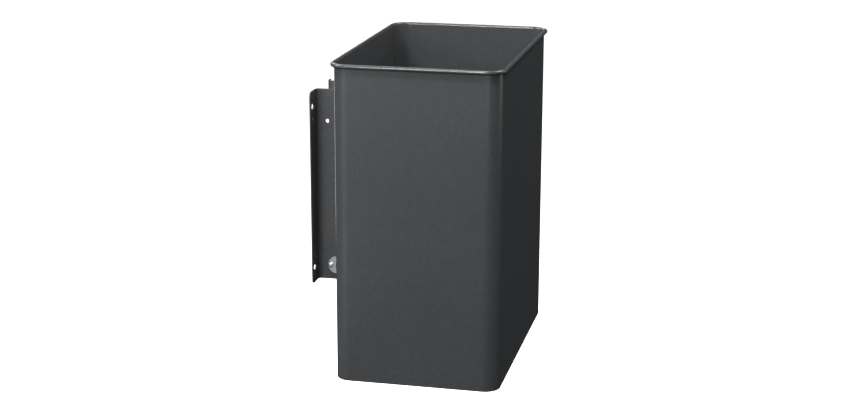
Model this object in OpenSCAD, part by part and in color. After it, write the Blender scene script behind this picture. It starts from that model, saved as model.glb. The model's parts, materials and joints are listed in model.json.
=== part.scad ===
// Wall-mounted open-top litter bin in sheet steel, on a hat-section bracket with a quarter-turn lock.
// The origin is the centre of the bracket's four wall slots, on the wall face.
// +Z is up, +Y points into the wall, and the bin hangs on the -Y side.

/* [Bin] */
// Width of the bin body, along the wall
bin_w = 320; // [240:1:420]
// Depth of the bin body, out from the wall
bin_d = 200; // [150:1:300]
// Height of the bin body, rim included
bin_h = 385; // [340:1:500]
// Outer radius of the vertical corners
corner_r = 19; // [12:1:30]
// Thickness of the bin's sheet steel
sheet = 1; // [0.8:0.1:1.2]
// Outer radius of the curled rim
bead_r = 2.6; // [2.5:0.1:3.5]
// Diameter of the wire inside the curled rim
wire_d = 3; // [1.5:0.1:3]
// How far the bracket's middle stands above the bin's bottom edge
bracket_rise = 206; // [190:0.5:215]

/* [Base] */
// Height of the floor's top above the bottom edge
floor_h = 12; // [8:1:25]
// Diameter of the drain holes
drain_d = 8; // [4:0.5:12]
// Distance of the corner drain holes from the middle, along the wall
drain_x = 120; // [20:1:130]
// Distance of the corner drain holes from the middle, out from the wall
drain_y = 62; // [20:1:70]

/* [Bracket] */
// Height of the bracket
bracket_h = 245; // [240:1:260]
// Overall width across the wall flanges
bracket_w = 108; // [104:1:140]
// Width of the raised channel
crown_w = 54; // [54:1:60]
// Depth of the channel out from the wall
bracket_d = 55; // [54:1:56]
// Thickness of the bracket's plate
plate = 1.5; // [1.5:0.1:1.6]
// Inner radius of the bracket's bends
bend_r = 4.5; // [2:0.5:5]
// Radius of the flanges' free corners
flange_corner_r = 6; // [2:0.5:8]
// Width of the stretch of the right flange that keeps its full height
relief_x = 12; // [10:0.5:14]
// How far the rest of the right flange is lowered at its top
relief_h = 8; // [2:0.5:9]

/* [Wall fixings] */
// Distance between the two rows of holes, along the wall
row_pitch = 88; // [84:1:90]
// Vertical distance between the slots
slot_pitch = 206; // [195:1:206]
// Width of the slots
slot_w = 7; // [6:0.5:9]
// Length of the slots, end to end
slot_l = 10; // [9.5:0.5:14]
// Vertical distance between the round screw holes
screw_pitch = 175; // [150:1:180]
// Diameter of the round screw holes
screw_d = 4; // [3:0.5:7]
// Diameter of the cross hole in the two webs
pin_d = 5; // [3:0.5:8]
// Distance of the cross hole from the wall
pin_y = 15; // [12:0.5:30]
// Height of the cross hole above the bracket's middle
pin_z = 82; // [60:1:92]

/* [Hook and catch] */
// Thickness of the hook and catch plates
hanger_t = 2; // [1.5:0.1:2]
// Width of the hook and catch plates
hanger_w = 100; // [94:1:140]
// Width of the hook over the bracket
hook_w = 34; // [20:1:38]
// Depth of the hook's tongue below the bracket's top edge
tongue = 22; // [12:1:28]
// Width of the catch tab
tab_w = 30; // [26:1:32]
// Width of the notch that the catch tab passes through
notch_w = 38; // [36:1:40]
// How far the bin lifts off the bracket
lift = 30; // [24:1:34]

/* [Lock] */
// Distance of the lock's axis from the wall
lock_y = 25; // [24:0.5:27]
// Distance of the lock's axis below the bracket's middle
lock_drop = 103.5; // [102:0.5:104]
// Diameter of the lock's face
rose_d = 22; // [22:0.5:26]
// Distance of each lock rivet from the lock's axis
rose_rivet_x = 7.5; // [7.5:0.1:7.8]
// Length of the cam from the lock's axis to its tip
cam_l = 18; // [16:0.5:18.5]
// Width of the cam
cam_w = 12; // [10:0.5:12]
// Length of the key slot in the lock's plug
key_l = 6; // [4:0.1:6.4]
// Width of the key slot
key_w = 1.8; // [1:0.1:2.2]

/* [Hidden] */
$fn = 96;

// Gap between pieces that are fixed to each other, and between a shaft and its bore.
snug = 0.05;
// Gap between the bin's plates and the bracket.
hang_gap = 0.5;

// Bin: its back face, its middle and its bottom edge.
back_y = -bracket_d - hang_gap - hanger_t;
bin_y = back_y - bin_d / 2;
bottom_z = -bracket_rise;
curl_z = bin_h - bead_r;
curl_u = bead_r - sheet;
curl_end = 55;

// Base: a pan with its rim turned down, inside the shell.
pan_w = bin_w - 2 * (sheet + snug);
pan_d = bin_d - 2 * (sheet + snug);
pan_r = corner_r - sheet - snug;
pan_bend_r = 1.5;

// Bracket.
bracket_top = bracket_h / 2;
outer_bend = bend_r + plate;

// Hook: its inner bend wraps the crown's top edge.
hook_in_r = (plate + 2 * hang_gap) / 2;
hook_y = -bracket_d + plate / 2;
hook_z = bracket_top - 0.6;
hanger_low = bracket_top - 38;
hanger_high = bracket_top - 4;

// Catch: its tab lies just under the locked cam.
lock_z = -lock_drop;
tab_top = lock_z - cam_w / 2 - 0.6;
tab_bend_r = 1;
tab_end = -lock_y - cam_w / 2 - 5;
catch_high = tab_top + 29;
notch_top = tab_top + lift + 4;

// Rivets that hold the hook and catch plates on the bin.
rivet_d = 4;
rivet_x = hanger_w / 2 - 8;
hanger_rivet_z = [hanger_low + 7, hanger_high - 7];
catch_rivet_z = [catch_high - 21, catch_high - 7];

// Lock, along X from its face outside the near web to the screw inside the channel.
web_x = -crown_w / 2;
rose_t = 2;
face_x = web_x - rose_t;
spigot_r = 5.1;
spigot_end = web_x + 15.5;
plug_r = 4.05;
plug_end = face_x + 12;
spindle_r = 3;
key_deep = 5;
cam_t = 3;
cam_x = spigot_end + 0.3;
square_w = 4.2;
washer_t = 0.5;
screw_r = 1.5;
washer_x = cam_x + cam_t;
screw_head_t = 2;
screw_head_d = 5.5 / cos(30);
screw_l = 8;
lock_rivet_d = 3.2;

bin_color = [0.16, 0.165, 0.17];
zinc_color = [0.62, 0.63, 0.65];
alu_color = [0.82, 0.83, 0.85];

// ---- shared shapes ----

// Quarter of a bent sheet, in the quadrant of positive x and y, about the bend's centre.
module bend_2d(inner_r, t) {
  difference() {
    intersection() {
      circle(r = inner_r + t);
      square(inner_r + t);
    }
    circle(r = inner_r);
  }
}

// Sweeps a profile round a rounded rectangle: x is the way out from the path and y is up.
module rim_sweep(w, d, r) {
  for (k = [0:3]) {
    side = (k % 2 == 0 ? w : d) - 2 * r;
    half = (k % 2 == 0 ? d : w) / 2;
    rotate([0, 0, 90 * k]) {
      translate([-side / 2, half, 0])
        rotate([90, 0, 90])
          linear_extrude(side)
            children();
      translate([side / 2, half - r, 0])
        rotate_extrude(angle = 90)
          translate([r, 0])
            children();
    }
  }
}

// Places something on the bin's middle, at the height of its bottom edge.
module on_bin() {
  translate([0, bin_y, bottom_z])
    children();
}

// Runs a cylinder along +Y from the given place.
module along_y(r, h) {
  rotate([-90, 0, 0])
    cylinder(r = r, h = h);
}

// Runs a cylinder along +X from the given place.
module along_x(r, h) {
  rotate([0, 90, 0])
    cylinder(r = r, h = h);
}

// Extrudes a profile drawn in Y and Z by w along X, centred.
module across(w) {
  translate([-w / 2, 0, 0])
    rotate([90, 0, 90])
      linear_extrude(w)
        children();
}

// Blind rivet along +Z: its domed head above z = 0, its shank and bulb below.
module blind_rivet(d, grip) {
  head_r = d;
  head_h = 0.34 * d;
  dome_r = (head_r * head_r + head_h * head_h) / (2 * head_h);
  difference() {
    union() {
      intersection() {
        translate([0, 0, head_h - dome_r])
          sphere(r = dome_r);
        cylinder(r = head_r + 1, h = head_h + 1);
      }
      translate([0, 0, -grip - 0.8 * d])
        cylinder(r = d / 2 - snug, h = grip + 0.8 * d + 0.2);
      translate([0, 0, -grip - 0.7 * d])
        cylinder(r1 = 0.55 * d, r2 = 0.7 * d, h = 0.7 * d);
    }
    translate([0, 0, head_h - 0.14 * d])
      cylinder(r = 0.26 * d, h = d);
  }
}

// Places of the rivets that go through the bin's back wall, for the given heights.
module at_back_rivets(heights) {
  for (side = [-1, 1], z = heights)
    translate([side * rivet_x, 0, z])
      children();
}

// ---- bin ----

// The sheet of the shell: a wall that curls outward at its top.
module shell_profile() {
  translate([-sheet, 0])
    square([sheet, curl_z]);
  translate([curl_u, curl_z])
    difference() {
      circle(r = bead_r);
      circle(r = bead_r - sheet);
      polygon([[0, 0], [-2 * bead_r, 0], [-2 * bead_r, -2 * bead_r * tan(curl_end)]]);
    }
}

module bin_shell() {
  color(bin_color)
    difference() {
      on_bin()
        rim_sweep(bin_w, bin_d, corner_r)
          shell_profile();
      at_back_rivets(concat(hanger_rivet_z, catch_rivet_z))
        translate([0, back_y - 2 * sheet, 0])
          along_y(rivet_d / 2, 3 * sheet);
    }
}

module rim_wire() {
  color(zinc_color)
    on_bin()
      rim_sweep(bin_w, bin_d, corner_r)
        translate([curl_u, curl_z])
          circle(d = wire_d);
}

module pan_profile() {
  translate([-sheet, 0.5])
    square([sheet, floor_h - pan_bend_r - sheet - 0.5]);
  translate([-sheet - pan_bend_r, floor_h - sheet - pan_bend_r])
    bend_2d(pan_bend_r, sheet);
  translate([-0.6 * pan_r, floor_h - sheet])
    square([0.6 * pan_r - sheet - pan_bend_r, sheet]);
}

module base_pan() {
  middle = [pan_w - pan_r, pan_d - pan_r, sheet];
  color(bin_color)
    on_bin()
      difference() {
        union() {
          rim_sweep(pan_w, pan_d, pan_r)
            pan_profile();
          translate([-middle[0] / 2, -middle[1] / 2, floor_h - sheet])
            cube(middle);
        }
        for (place = [[0, 0], [1, 1], [1, -1], [-1, 1], [-1, -1]])
          translate([place[0] * drain_x, place[1] * drain_y, floor_h - 2 * sheet])
            cylinder(d = drain_d, h = 3 * sheet);
      }
}

// ---- hook and catch on the bin's back ----

module hanger_plate() {
  color(bin_color)
    difference() {
      union() {
        translate([-hanger_w / 2, back_y, hanger_low])
          cube([hanger_w, hanger_t, hanger_high - hanger_low]);
        across(hook_w) {
          translate([back_y, hanger_high])
            square([hanger_t, hook_z - hanger_high]);
          translate([hook_y, hook_z])
            bend_2d(hook_in_r, hanger_t);
          translate([hook_y, hook_z])
            mirror([1, 0])
              bend_2d(hook_in_r, hanger_t);
          translate([hook_y + hook_in_r, bracket_top - tongue])
            square([hanger_t, hook_z - bracket_top + tongue]);
        }
      }
      at_back_rivets(hanger_rivet_z)
        translate([0, back_y - 1, 0])
          along_y(rivet_d / 2, hanger_t + 2);
    }
}

module catch_plate() {
  color(bin_color)
    difference() {
      union() {
        translate([-hanger_w / 2, back_y, tab_top + tab_bend_r])
          cube([hanger_w, hanger_t, catch_high - tab_top - tab_bend_r]);
        across(tab_w) {
          translate([back_y + hanger_t + tab_bend_r, tab_top + tab_bend_r])
            rotate(180)
              bend_2d(tab_bend_r, hanger_t);
          translate([back_y + hanger_t + tab_bend_r, tab_top - hanger_t])
            square([tab_end - back_y - hanger_t - tab_bend_r, hanger_t]);
        }
      }
      at_back_rivets(catch_rivet_z)
        translate([0, back_y - 1, 0])
          along_y(rivet_d / 2, hanger_t + 2);
    }
}

module back_rivets(heights) {
  color(alu_color)
    at_back_rivets(heights)
      translate([0, back_y + hanger_t, 0])
        rotate([-90, 0, 0])
          blind_rivet(rivet_d, hanger_t + sheet);
}

module hanger_rivets() {
  back_rivets(hanger_rivet_z);
}

module catch_rivets() {
  back_rivets(catch_rivet_z);
}

// ---- wall bracket ----

// Right half of the hat section, seen from above.
module half_hat() {
  crown_y = -bracket_d;
  translate([0, crown_y])
    square([crown_w / 2 - outer_bend, plate]);
  translate([crown_w / 2 - outer_bend, crown_y + outer_bend])
    mirror([0, 1])
      bend_2d(bend_r, plate);
  translate([crown_w / 2 - plate, crown_y + outer_bend])
    square([plate, bracket_d - 2 * outer_bend]);
  translate([crown_w / 2 + bend_r, -outer_bend])
    mirror([1, 0])
      bend_2d(bend_r, plate);
  translate([crown_w / 2 + bend_r, -plate])
    square([bracket_w / 2 - crown_w / 2 - bend_r, plate]);
}

// Cutter that rounds the free corner of the right flange at the given height.
module corner_cutter(top) {
  r = flange_corner_r;
  translate([bracket_w / 2 - r, -plate - 1, top - r])
    difference() {
      cube([r + 1, plate + 2, r + 1]);
      along_y(r, plate + 2);
    }
}

// Cutter that lowers the right flange's top, away from its bend.
module relief_cutter() {
  translate([crown_w / 2 + relief_x, -plate - 1, bracket_top - relief_h])
    cube([bracket_w, plate + 2, relief_h + 1]);
}

// Cutter for one wall slot, along X.
module slot_cutter() {
  reach = (slot_l - slot_w) / 2;
  translate([-reach, -plate - 1, -slot_w / 2])
    cube([2 * reach, plate + 2, slot_w]);
  for (side = [-1, 1])
    translate([side * reach, -plate - 1, 0])
      along_y(slot_w / 2, plate + 2);
}

module wall_bracket() {
  color(bin_color)
    difference() {
      translate([0, 0, -bracket_top])
        linear_extrude(bracket_h) {
          half_hat();
          mirror([1, 0])
            half_hat();
        }
      relief_cutter();
      corner_cutter(bracket_top - relief_h);
      mirror([0, 0, 1])
        corner_cutter(bracket_top);
      mirror([1, 0, 0]) {
        corner_cutter(bracket_top);
        mirror([0, 0, 1])
          corner_cutter(bracket_top);
      }
      for (x = [-1, 1], z = [-1, 1])
        translate([x * row_pitch / 2, 0, z * slot_pitch / 2])
          slot_cutter();
      for (x = [-1, 1], z = [-1, 1])
        translate([x * row_pitch / 2, -plate - 1, z * screw_pitch / 2])
          along_y(screw_d / 2, plate + 2);
      translate([-crown_w / 2 - 1, -pin_y, pin_z])
        along_x(pin_d / 2, crown_w + 2);
      translate([-notch_w / 2, -bracket_d - 1, -bracket_top - 1])
        cube([notch_w, plate + 2, notch_top + bracket_top + 1]);
      translate([web_x - 1, -lock_y, lock_z])
        along_x(spigot_r + snug, plate + 2);
      for (side = [-1, 1])
        translate([web_x - 1, -lock_y + side * rose_rivet_x, lock_z])
          along_x(lock_rivet_d / 2, plate + 2);
    }
}

// ---- lock ----

// Places something at the lock's axis, at a distance along X.
module on_lock(x) {
  translate([x, -lock_y, lock_z])
    children();
}

module lock_housing() {
  edge_r = 0.5;
  dimple_at = 8.2;
  color(zinc_color)
    difference() {
      union() {
        on_lock(face_x)
          rotate([0, 90, 0])
            rotate_extrude() {
              square([rose_d / 2 - edge_r, rose_t]);
              translate([rose_d / 2 - edge_r, edge_r])
                mirror([0, 1])
                  intersection() {
                    circle(r = edge_r);
                    square(edge_r);
                  }
              translate([rose_d / 2 - edge_r, edge_r])
                square([edge_r, rose_t - edge_r]);
            }
        on_lock(web_x)
          along_x(spigot_r, spigot_end - web_x);
      }
      on_lock(face_x - 1)
        along_x(plug_r + snug, plug_end - face_x + 1);
      on_lock(plug_end - 1)
        along_x(spindle_r + snug, spigot_end - plug_end + 2);
      for (side = [-1, 1])
        translate([0, side * rose_rivet_x, 0])
          on_lock(face_x - 1)
            along_x(lock_rivet_d / 2, rose_t + 2);
      translate([0, dimple_at * cos(curl_end), -dimple_at * sin(curl_end)])
        on_lock(face_x - 1)
          along_x(0.9, 1.4);
    }
}

module lock_rivets() {
  color(alu_color)
    for (side = [-1, 1])
      translate([face_x, -lock_y + side * rose_rivet_x, lock_z])
        rotate([0, -90, 0])
          blind_rivet(lock_rivet_d, rose_t + plate);
}

// The plug's face is flush with the housing's; its shaft and square carry the cam.
module lock_plug() {
  square_l = washer_x - spigot_end - 0.1;
  color(zinc_color)
    difference() {
      union() {
        on_lock(face_x)
          along_x(plug_r, plug_end - snug - face_x);
        on_lock(plug_end - 1)
          along_x(spindle_r, spigot_end - plug_end + 1);
        translate([spigot_end - 1, -lock_y - square_w / 2, lock_z - square_w / 2])
          cube([square_l + 1, square_w, square_w]);
      }
      translate([face_x - 1, -lock_y - key_w / 2, lock_z - key_l / 2])
        cube([key_deep + 1, key_w, key_l]);
      on_lock(washer_x - screw_l)
        along_x(screw_r, screw_l + 1);
    }
}

// The cam stands up at rest, unlocked, and turns towards the bin to lock it.
module lock_cam() {
  hole = square_w + 2 * snug;
  tip_r = 2;
  color(zinc_color)
    difference() {
      union() {
        on_lock(cam_x)
          along_x(cam_w / 2, cam_t);
        translate([cam_x, -lock_y - cam_w / 2, lock_z])
          cube([cam_t, cam_w, cam_l - tip_r]);
        translate([cam_x, -lock_y - cam_w / 2 + tip_r, lock_z])
          cube([cam_t, cam_w - 2 * tip_r, cam_l]);
        for (side = [-1, 1])
          translate([cam_x, -lock_y + side * (cam_w / 2 - tip_r), lock_z + cam_l - tip_r])
            along_x(tip_r, cam_t);
      }
      translate([cam_x - 1, -lock_y - hole / 2, lock_z - hole / 2])
        cube([cam_t + 2, hole, hole]);
    }
}

module cam_washer() {
  color(zinc_color)
    difference() {
      on_lock(washer_x)
        along_x(3.5, washer_t);
      on_lock(washer_x - 1)
        along_x(screw_r + 0.1, washer_t + 2);
    }
}

module cam_screw() {
  color(zinc_color) {
    on_lock(washer_x + washer_t)
      rotate([0, 90, 0])
        cylinder(d = screw_head_d, h = screw_head_t, $fn = 6);
    on_lock(washer_x - screw_l + 0.5)
      along_x(screw_r - snug, screw_l + washer_t);
  }
}

bin_shell();
rim_wire();
base_pan();
hanger_plate();
hanger_rivets();
catch_plate();
catch_rivets();
wall_bracket();
lock_housing();
lock_rivets();
lock_plug();
lock_cam();
cam_washer();
cam_screw();
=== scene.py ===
"""Looks of the wall-mounted litter bin. Lengths are in metres, in the row's own frame."""
import json
import math

import bmesh
import bpy
from mathutils import Matrix, Vector


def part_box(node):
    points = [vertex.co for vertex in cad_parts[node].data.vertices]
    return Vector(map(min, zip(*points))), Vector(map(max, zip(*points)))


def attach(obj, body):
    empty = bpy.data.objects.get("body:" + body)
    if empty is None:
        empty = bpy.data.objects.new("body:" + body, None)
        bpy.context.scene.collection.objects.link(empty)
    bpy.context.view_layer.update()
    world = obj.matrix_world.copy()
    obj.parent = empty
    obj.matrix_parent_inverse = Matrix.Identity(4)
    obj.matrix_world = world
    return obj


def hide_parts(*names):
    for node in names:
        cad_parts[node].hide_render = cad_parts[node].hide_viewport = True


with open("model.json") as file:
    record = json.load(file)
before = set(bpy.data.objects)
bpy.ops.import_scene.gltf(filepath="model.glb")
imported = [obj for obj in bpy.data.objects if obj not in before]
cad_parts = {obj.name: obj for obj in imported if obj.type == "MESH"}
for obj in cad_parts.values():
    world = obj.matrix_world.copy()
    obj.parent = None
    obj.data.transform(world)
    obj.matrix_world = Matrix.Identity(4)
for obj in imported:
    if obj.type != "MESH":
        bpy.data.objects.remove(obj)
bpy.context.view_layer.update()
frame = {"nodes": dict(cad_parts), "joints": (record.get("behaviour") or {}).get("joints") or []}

# ---- driving dimensions ----

SHEET = 0.001
BEAD_R = 0.0026
WIRE_R = 0.0015
CORNER_R = 0.019
CURL_END = math.radians(55)
EDGE_R = 0.0003
CORNER_STEPS = 28
SUPPORT = 0.0012

LOCK_AXIS = Vector(frame["joints"][1]["pos_m"])
WELD_GAP = 1e-6
FLAT_ANGLE = math.radians(0.4)
EDGE_ANGLE = math.radians(28)
BEVEL_STEPS = 3

CURL_INNER_STEPS = 40
CURL_OUTER_STEPS = 56
LIP_STEPS = 8
FOOT_STEPS = 4
WIRE_STEPS = 24

FLOOR_DROP = 0.30
FLOOR_REACH = 14.0
FLOOR_GLOW = 0.97
ROOM_LIGHT = 0.02

LARGE = (1.3, 0.9)
# Each light: name, turn from -X towards +Y and rise in degrees, distance, size, power in watts.
LIGHTS = (
    ("key", 12, 25, 2.4, (0.35, 0.35), 34),
    ("overhead", 4, 66, 1.8, (0.30, 0.30), 25),
    ("near_low", -10, 5, 2.4, LARGE, 5),
    ("near_side", 30, 5, 2.4, LARGE, 6),
    ("table_side", 35, -12, 1.1, (0.7, 0.4), 0.5),
    ("wall_side", 72, 30, 2.4, LARGE, 38),
    ("over_wall", 95, 55, 2.4, LARGE, 20),
    ("room_high", -110, 55, 2.4, LARGE, 42),
    ("room_low", -110, 5, 2.4, LARGE, 9),
    ("edge_line", 138, -6, 2.4, (0.5, 0.9), 2.2),
    ("back_fill", 150, 30, 2.4, LARGE, 12),
)

CAMERA_AT = (-2.0026, -0.5910, 0.5263)
CAMERA_YAW = 12.706
CAMERA_PITCH = 15.038
CAMERA_ROLL = 0.159
CAMERA_LENS = 70.92
SENSOR_WIDTH = 36.0

# ---- node helpers ----


class Nodes:
    """Short ways to add and join a material's nodes."""

    def __init__(self, name):
        self.material = bpy.data.materials.new(name)
        self.material.use_nodes = True
        self.tree = self.material.node_tree
        self.tree.nodes.clear()
        self.coords = self.add("ShaderNodeTexCoord").outputs["Object"]

    def add(self, kind, **settings):
        node = self.tree.nodes.new(kind)
        for key, value in settings.items():
            setattr(node, key, value)
        return node

    def link(self, source, target):
        self.tree.links.new(source, target)

    def feed(self, socket, value):
        """Joins a socket to another one, or sets a number or colour on it."""
        if isinstance(value, bpy.types.NodeSocket):
            self.link(value, socket)
        else:
            socket.default_value = value

    def noise(self, scale, detail=3.0, rough=0.5, vector=None, dimensions="3D"):
        node = self.add("ShaderNodeTexNoise", noise_dimensions=dimensions)
        self.link(vector or self.coords, node.inputs["W" if dimensions == "1D" else "Vector"])
        node.inputs["Scale"].default_value = scale
        node.inputs["Detail"].default_value = detail
        node.inputs["Roughness"].default_value = rough
        return node.outputs["Fac"]

    def cells(self, scale):
        """A random tone for each small cell."""
        node = self.add("ShaderNodeTexVoronoi")
        self.link(self.coords, node.inputs["Vector"])
        node.inputs["Scale"].default_value = scale
        return node.outputs["Color"]

    def remap(self, value, low, high, to_low=0.0, to_high=1.0):
        node = self.add("ShaderNodeMapRange")
        self.link(value, node.inputs["Value"])
        limits = {"From Min": low, "From Max": high, "To Min": to_low, "To Max": to_high}
        for key, number in limits.items():
            node.inputs[key].default_value = number
        return node.outputs["Result"]

    def math(self, operation, a, b=0.0):
        node = self.add("ShaderNodeMath", operation=operation)
        self.feed(node.inputs[0], a)
        self.feed(node.inputs[1], b)
        return node.outputs[0]

    def mix(self, factor, a, b):
        node = self.add("ShaderNodeMix", data_type="RGBA")
        self.feed(node.inputs["Factor"], factor)
        self.feed(node.inputs["A"], a)
        self.feed(node.inputs["B"], b)
        return node.outputs["Result"]

    def bump(self, height, distance, strength=1.0, normal=None):
        node = self.add("ShaderNodeBump")
        node.inputs["Strength"].default_value = strength
        node.inputs["Distance"].default_value = distance
        self.link(height, node.inputs["Height"])
        if normal:
            self.link(normal, node.inputs["Normal"])
        return node.outputs["Normal"]

    def edges(self, radius, low, high):
        """From 0 on flat ground to 1 on an edge of about the given radius."""
        bevel = self.add("ShaderNodeBevel", samples=6)
        bevel.inputs["Radius"].default_value = radius
        plain = self.add("ShaderNodeNewGeometry").outputs["Normal"]
        dot = self.add("ShaderNodeVectorMath", operation="DOT_PRODUCT")
        self.link(bevel.outputs["Normal"], dot.inputs[0])
        self.link(plain, dot.inputs[1])
        return self.remap(dot.outputs["Value"], high, low)

    def surface(self, **inputs):
        shader = self.add("ShaderNodeBsdfPrincipled")
        for key, value in inputs.items():
            self.feed(shader.inputs[key.replace("_", " ")], value)
        output = self.add("ShaderNodeOutputMaterial")
        self.link(shader.outputs["BSDF"], output.inputs["Surface"])
        return self.material


# ---- materials ----


def powder_coat():
    """Anthracite powder coat: satin, mottled, with a fine metallic fleck and a slight orange peel."""
    m = Nodes("powder_coat")
    broad = m.noise(5.0, 2.0)
    cloud = m.noise(38.0, 4.0, 0.6)
    mottle = m.noise(310.0, 3.0, 0.65)
    grain = m.noise(1500.0, 2.0, 0.6)
    fleck = m.remap(m.cells(1700.0), 0.80, 0.97)
    tone = m.mix(m.remap(broad, 0.35, 0.65), (0.057, 0.059, 0.061, 1), (0.066, 0.067, 0.068, 1))
    tone = m.mix(m.remap(cloud, 0.3, 0.7, 0.0, 0.30), tone, (0.040, 0.043, 0.046, 1))
    tone = m.mix(m.remap(mottle, 0.32, 0.68, 0.0, 0.45), tone, (0.036, 0.038, 0.040, 1))
    tone = m.mix(m.math("MULTIPLY", fleck, 0.22), tone, (0.17, 0.175, 0.18, 1))
    tone = m.mix(m.remap(grain, 0.25, 0.75, 0.0, 0.35), tone, (0.030, 0.031, 0.033, 1))
    # Edges lightened in noisy patches: partly edge wear, partly a painted highlight where sheet edges
    # would catch the light.
    patches = m.remap(m.noise(160.0, 4.0, 0.65), 0.42, 0.66)
    wear_and_edge_highlight = m.math("MULTIPLY", m.edges(0.0004, 0.80, 0.98), patches)
    tone = m.mix(m.math("MULTIPLY", wear_and_edge_highlight, 0.35), tone, (0.20, 0.205, 0.21, 1))
    rough = m.remap(cloud, 0.3, 0.7, 0.22, 0.27)
    rough = m.math("SUBTRACT", rough, m.math("MULTIPLY", fleck, 0.05))
    wave = m.bump(m.noise(24.0, 2.0, 0.5), 0.0012, 0.10)
    peel = m.bump(m.noise(420.0, 2.0, 0.45), 0.00005, 0.20, wave)
    skin = m.bump(grain, 0.00003, 0.30, peel)
    return m.surface(Base_Color=tone, Metallic=m.math("MULTIPLY", fleck, 0.12), Roughness=rough,
                     Specular_IOR_Level=0.5, Normal=skin)


def zinc():
    """Zinc-plated die casting and steel: dull, with fine turned marks about the lock's axis."""
    m = Nodes("zinc")
    offset = m.add("ShaderNodeVectorMath", operation="SUBTRACT")
    m.link(m.coords, offset.inputs[0])
    offset.inputs[1].default_value = LOCK_AXIS
    split = m.add("ShaderNodeSeparateXYZ")
    m.link(offset.outputs[0], split.inputs[0])
    across = m.math("POWER", split.outputs["Y"], 2.0)
    up = m.math("POWER", split.outputs["Z"], 2.0)
    radius = m.math("SQRT", m.math("ADD", across, up))
    rings = m.noise(2600.0, 4.0, 0.7, vector=radius, dimensions="1D")
    mottle = m.noise(420.0, 5.0, 0.62)
    spangle = m.cells(650.0)
    tone = m.mix(m.remap(mottle, 0.35, 0.65), (0.50, 0.51, 0.53, 1), (0.64, 0.65, 0.66, 1))
    tone = m.mix(m.remap(spangle, 0.0, 1.0, 0.0, 0.25), tone, (0.42, 0.43, 0.46, 1))
    tone = m.mix(m.remap(rings, 0.3, 0.7, 0.0, 0.25), tone, (0.74, 0.75, 0.76, 1))
    # Darker in noisy patches along edges and corners.
    darker_edges = m.math("MULTIPLY", m.edges(0.0007, 0.80, 0.99), m.remap(mottle, 0.40, 0.62))
    tone = m.mix(m.math("MULTIPLY", darker_edges, 0.6), tone, (0.24, 0.24, 0.25, 1))
    rough = m.remap(mottle, 0.3, 0.7, 0.36, 0.55)
    marks = m.bump(rings, 0.00004, 0.5)
    skin = m.bump(mottle, 0.00005, 0.35, marks)
    return m.surface(Base_Color=tone, Metallic=1.0, Roughness=rough, Normal=skin)


def rivet_aluminium():
    """Bright rolled aluminium, with faint scratches."""
    m = Nodes("rivet_aluminium")
    stretch = m.add("ShaderNodeMapping")
    m.link(m.coords, stretch.inputs["Vector"])
    stretch.inputs["Scale"].default_value = (1.0, 1.0, 7.0)
    scratch = m.noise(900.0, 4.0, 0.7, vector=stretch.outputs[0])
    cloud = m.noise(700.0, 4.0, 0.6)
    tone = m.mix(m.remap(cloud, 0.35, 0.65), (0.92, 0.92, 0.93, 1), (0.82, 0.83, 0.84, 1))
    # Darker in noisy patches along edges and corners.
    darker_edges = m.math("MULTIPLY", m.edges(0.0004, 0.75, 0.99), m.remap(cloud, 0.45, 0.65))
    tone = m.mix(m.math("MULTIPLY", darker_edges, 0.5), tone, (0.38, 0.38, 0.39, 1))
    rough = m.remap(scratch, 0.3, 0.7, 0.36, 0.50)
    skin = m.bump(scratch, 0.00003, 0.4)
    return m.surface(Base_Color=tone, Metallic=1.0, Roughness=rough, Normal=skin)


def drawn_wire():
    """Drawn steel wire, toned dark all over as painted shade for lying inside the curl."""
    m = Nodes("wire")
    cloud = m.noise(300.0, 4.0, 0.65)
    tone = m.mix(m.remap(cloud, 0.35, 0.65), (0.30, 0.30, 0.31, 1), (0.42, 0.42, 0.42, 1))
    rough = m.remap(cloud, 0.3, 0.7, 0.35, 0.6)
    skin = m.bump(cloud, 0.00003, 0.4)
    return m.surface(Base_Color=tone, Metallic=1.0, Roughness=rough, Normal=skin)


def pale_floor():
    """Plain matt floor, almost white, with a little light of its own, as a lit table has."""
    m = Nodes("floor")
    cloud = m.noise(3.0, 3.0)
    tone = m.mix(m.remap(cloud, 0.3, 0.7), (0.88, 0.88, 0.88, 1), (0.92, 0.92, 0.92, 1))
    return m.surface(Base_Color=tone, Roughness=0.9, Emission_Color=(1, 1, 1, 1),
                     Emission_Strength=FLOOR_GLOW)


# ---- mesh helpers ----


def arc(centre, radius, start, end, steps):
    """Points of an arc, both ends included. Angles are in radians."""
    angles = [start + (end - start) / steps * k for k in range(steps + 1)]
    return [(centre[0] + radius * math.cos(a), centre[1] + radius * math.sin(a)) for a in angles]


def rounded_path(width, depth, radius):
    """Places and outward directions round a rounded rectangle, with close points beside each corner."""
    path = []
    for quarter in range(4):
        start = quarter * math.pi / 2
        corner = ((width / 2 - radius) * (1 if quarter in (0, 3) else -1),
                  (depth / 2 - radius) * (1 if quarter in (0, 1) else -1))
        first = Vector((math.cos(start), math.sin(start)))
        last = Vector((-first.y, first.x))
        path.append((Vector(corner) + radius * first - SUPPORT * last, first))
        for point in arc((0, 0), 1.0, start, start + math.pi / 2, CORNER_STEPS):
            path.append((Vector(corner) + radius * Vector(point), Vector(point)))
        path.append((Vector(corner) + radius * last - SUPPORT * first, last))
    return path


def new_object(name, bm, material):
    mesh = bpy.data.meshes.new(name)
    bm.normal_update()
    bm.to_mesh(mesh)
    bm.free()
    mesh.polygons.foreach_set("use_smooth", [True] * len(mesh.polygons))
    piece = bpy.data.objects.new(name, mesh)
    bpy.context.scene.collection.objects.link(piece)
    mesh.materials.append(material)
    return piece


def weighted(piece):
    """Keeps flat faces flat beside small rounded edges."""
    modifier = piece.modifiers.new("flat_faces", "WEIGHTED_NORMAL")
    modifier.weight = 60
    modifier.keep_sharp = False
    return piece


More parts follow.
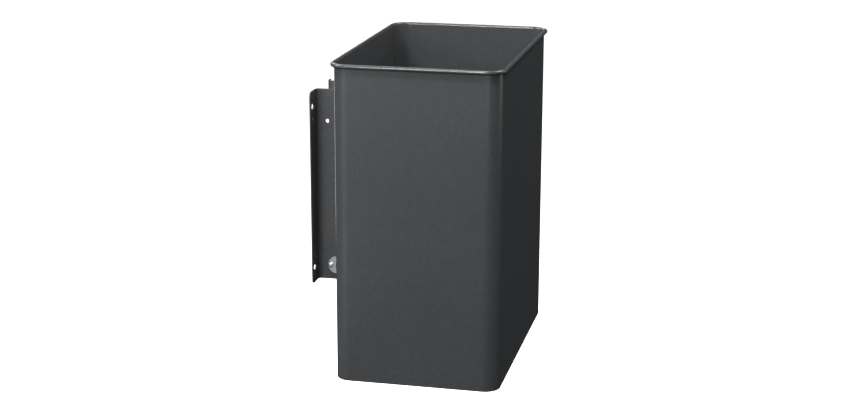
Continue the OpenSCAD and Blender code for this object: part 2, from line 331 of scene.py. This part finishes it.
def swept(name, profile, path, place, material):
    """Closed profile of (out, up) points swept round a closed path."""
    bm = bmesh.new()
    rings = []
    for point, out in path:
        at = (place.x + point.x, place.y + point.y)
        rings.append([bm.verts.new((at[0] + u * out.x, at[1] + u * out.y, place.z + v))
                      for u, v in profile])
    count = len(profile)
    for ring, following in zip(rings, rings[1:] + rings[:1]):
        for k in range(count):
            after = (k + 1) % count
            bm.faces.new((ring[k], following[k], following[after], ring[after]))
    bmesh.ops.recalc_face_normals(bm, faces=bm.faces)
    return weighted(new_object(name, bm, material))


def refined(node, name, material, edge):
    """Copy of a CAD node's mesh with welded seams, merged flats and small rounded edges."""
    bm = bmesh.new()
    bm.from_mesh(frame["nodes"][node].data)
    bmesh.ops.remove_doubles(bm, verts=bm.verts, dist=WELD_GAP)
    bmesh.ops.dissolve_limit(bm, angle_limit=FLAT_ANGLE, verts=bm.verts, edges=bm.edges)
    piece = new_object(name, bm, material)
    bevel = piece.modifiers.new("rounded_edges", "BEVEL")
    bevel.limit_method = "ANGLE"
    bevel.angle_limit = EDGE_ANGLE
    bevel.width = edge
    bevel.segments = BEVEL_STEPS
    bevel.use_clamp_overlap = True
    return weighted(piece)


def stands_for(piece, body, node):
    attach(piece, body)
    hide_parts(node)


# ---- bin ----

shell_lo, shell_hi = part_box("bin_shell")
CURL_U = BEAD_R - SHEET
REACH = CURL_U + BEAD_R
BIN_W = shell_hi.x - shell_lo.x - 2 * REACH
BIN_D = shell_hi.y - shell_lo.y - 2 * REACH
CURL_Z = shell_hi.z - shell_lo.z - BEAD_R
BIN_AT = Vector(((shell_lo.x + shell_hi.x) / 2, (shell_lo.y + shell_hi.y) / 2, shell_lo.z))


def shell_profile():
    """Sheet wall that curls outward round the wire: up its outer face, round, and down its inner face."""
    curl = (CURL_U, CURL_Z)
    inner = BEAD_R - SHEET
    middle = (BEAD_R + inner) / 2
    stop = -math.pi + CURL_END + (SHEET / 2) / middle
    tip = (curl[0] + middle * math.cos(stop), curl[1] + middle * math.sin(stop))
    points = arc((-EDGE_R, EDGE_R), EDGE_R, -math.pi / 2, 0, FOOT_STEPS)
    points += [(0, EDGE_R + SUPPORT), (0, CURL_Z - SUPPORT)]
    points += arc(curl, inner, math.pi, stop, CURL_INNER_STEPS)
    points += arc(tip, SHEET / 2, stop + math.pi, stop, LIP_STEPS)[1:-1]
    points += arc(curl, BEAD_R, stop, math.pi, CURL_OUTER_STEPS)
    points += [(-SHEET, CURL_Z - SUPPORT), (-SHEET, EDGE_R + SUPPORT)]
    points += arc((-SHEET + EDGE_R, EDGE_R), EDGE_R, math.pi, 1.5 * math.pi, FOOT_STEPS)
    return points


def make_bin(paint, metal, wire):
    path = rounded_path(BIN_W, BIN_D, CORNER_R)
    shell = swept("shell", shell_profile(), path, BIN_AT, paint)
    stands_for(shell, "bin", "bin_shell")
    ring = arc((CURL_U, CURL_Z), WIRE_R, 0, 2 * math.pi, WIRE_STEPS)[:-1]
    rim = swept("rim_core", ring, path, BIN_AT, wire)
    stands_for(rim, "bin", "rim_wire")
    for node, name, edge in (("base_pan", "floor_pan", 0.00025), ("hanger_plate", "hook_plate", 0.0003),
                             ("catch_plate", "tab_plate", 0.0003)):
        stands_for(refined(node, name, paint, edge), "bin", node)
    for node in ("hanger_rivets", "catch_rivets"):
        stands_for(refined(node, node + "_turned", metal, 0.00012), "bin", node)


# ---- bracket and lock ----


def make_bracket(paint, metal, plated):
    for node, name, material, edge, slot in (
            ("wall_bracket", "hat_bracket", paint, 0.0003, "powder_coat"),
            ("lock_housing", "lock_rose", plated, 0.00025, "zinc"),
            ("lock_rivets", "rose_rivets", metal, 0.00012, "rivet_aluminium")):
        stands_for(refined(node, name, material, edge), "bracket", node)


def make_lock(plated):
    for node, name, edge in (("lock_plug", "key_plug", 0.0002), ("lock_cam", "cam_blade", 0.0003),
                             ("cam_washer", "flat_washer", 0.0001), ("cam_screw", "hex_screw", 0.0002)):
        stands_for(refined(node, name, plated, edge), "lock", node)


# ---- stage, light and camera ----


def make_stage():
    bm = bmesh.new()
    bmesh.ops.create_grid(bm, x_segments=1, y_segments=1, size=FLOOR_REACH,
                          matrix=Matrix.Translation((0, 0, shell_lo.z - FLOOR_DROP)))
    floor = new_object("floor", bm, pale_floor())
    floor.visible_glossy = False
    floor.visible_diffuse = False


def softbox(name, turn, rise, away, size, power, aim):
    """Rectangular soft light, unseen by the camera, aimed at one point."""
    turn, rise = math.radians(turn), math.radians(rise)
    level = math.cos(rise)
    way = Vector((-math.cos(turn) * level, math.sin(turn) * level, math.sin(rise)))
    place = Vector((0, BIN_AT.y, 0)) + away * way
    data = bpy.data.lights.new(name, "AREA")
    data.shape = "RECTANGLE"
    data.size, data.size_y = size
    data.energy = power
    lamp = bpy.data.objects.new(name, data)
    bpy.context.scene.collection.objects.link(lamp)
    lamp.location = place
    lamp.rotation_euler = (aim - place).to_track_quat("-Z", "Y").to_euler()
    lamp.visible_camera = False


def make_light():
    middle = Vector((0, BIN_AT.y, 0))
    for light in LIGHTS:
        softbox(*light, middle)
    world = bpy.data.worlds.new("studio")
    bpy.context.scene.world = world
    world.use_nodes = True
    tree = world.node_tree
    tree.nodes.clear()
    seen = tree.nodes.new("ShaderNodeBackground")
    seen.inputs["Color"].default_value = (1, 1, 1, 1)
    seen.inputs["Strength"].default_value = 1.0
    dim = tree.nodes.new("ShaderNodeBackground")
    dim.inputs["Color"].default_value = (0.9, 0.95, 1.0, 1)
    dim.inputs["Strength"].default_value = ROOM_LIGHT
    rays = tree.nodes.new("ShaderNodeLightPath")
    mix = tree.nodes.new("ShaderNodeMixShader")
    output = tree.nodes.new("ShaderNodeOutputWorld")
    tree.links.new(rays.outputs["Is Camera Ray"], mix.inputs["Fac"])
    tree.links.new(dim.outputs[0], mix.inputs[1])
    tree.links.new(seen.outputs[0], mix.inputs[2])
    tree.links.new(mix.outputs[0], output.inputs["Surface"])


def make_camera():
    data = bpy.data.cameras.new("camera")
    data.sensor_width = SENSOR_WIDTH
    data.sensor_fit = "HORIZONTAL"
    data.lens = CAMERA_LENS
    data.clip_start = 0.01
    data.clip_end = 60.0
    camera = bpy.data.objects.new("camera", data)
    bpy.context.scene.collection.objects.link(camera)
    yaw, pitch = math.radians(CAMERA_YAW), math.radians(CAMERA_PITCH)
    level = math.cos(pitch)
    ahead = Vector((math.cos(yaw) * level, math.sin(yaw) * level, -math.sin(pitch)))
    aim = ahead.to_track_quat("-Z", "Y").to_matrix().to_4x4()
    roll = Matrix.Rotation(math.radians(CAMERA_ROLL), 4, "Z")
    camera.matrix_world = Matrix.Translation(CAMERA_AT) @ aim @ roll
    bpy.context.scene.camera = camera


# ---- the scene ----

make_camera()
coat, plated_zinc, aluminium = powder_coat(), zinc(), rivet_aluminium()
make_bin(coat, aluminium, drawn_wire())
make_bracket(coat, aluminium, plated_zinc)
make_lock(plated_zinc)
make_stage()
make_light()
bpy.context.scene.view_settings.view_transform = "Standard"
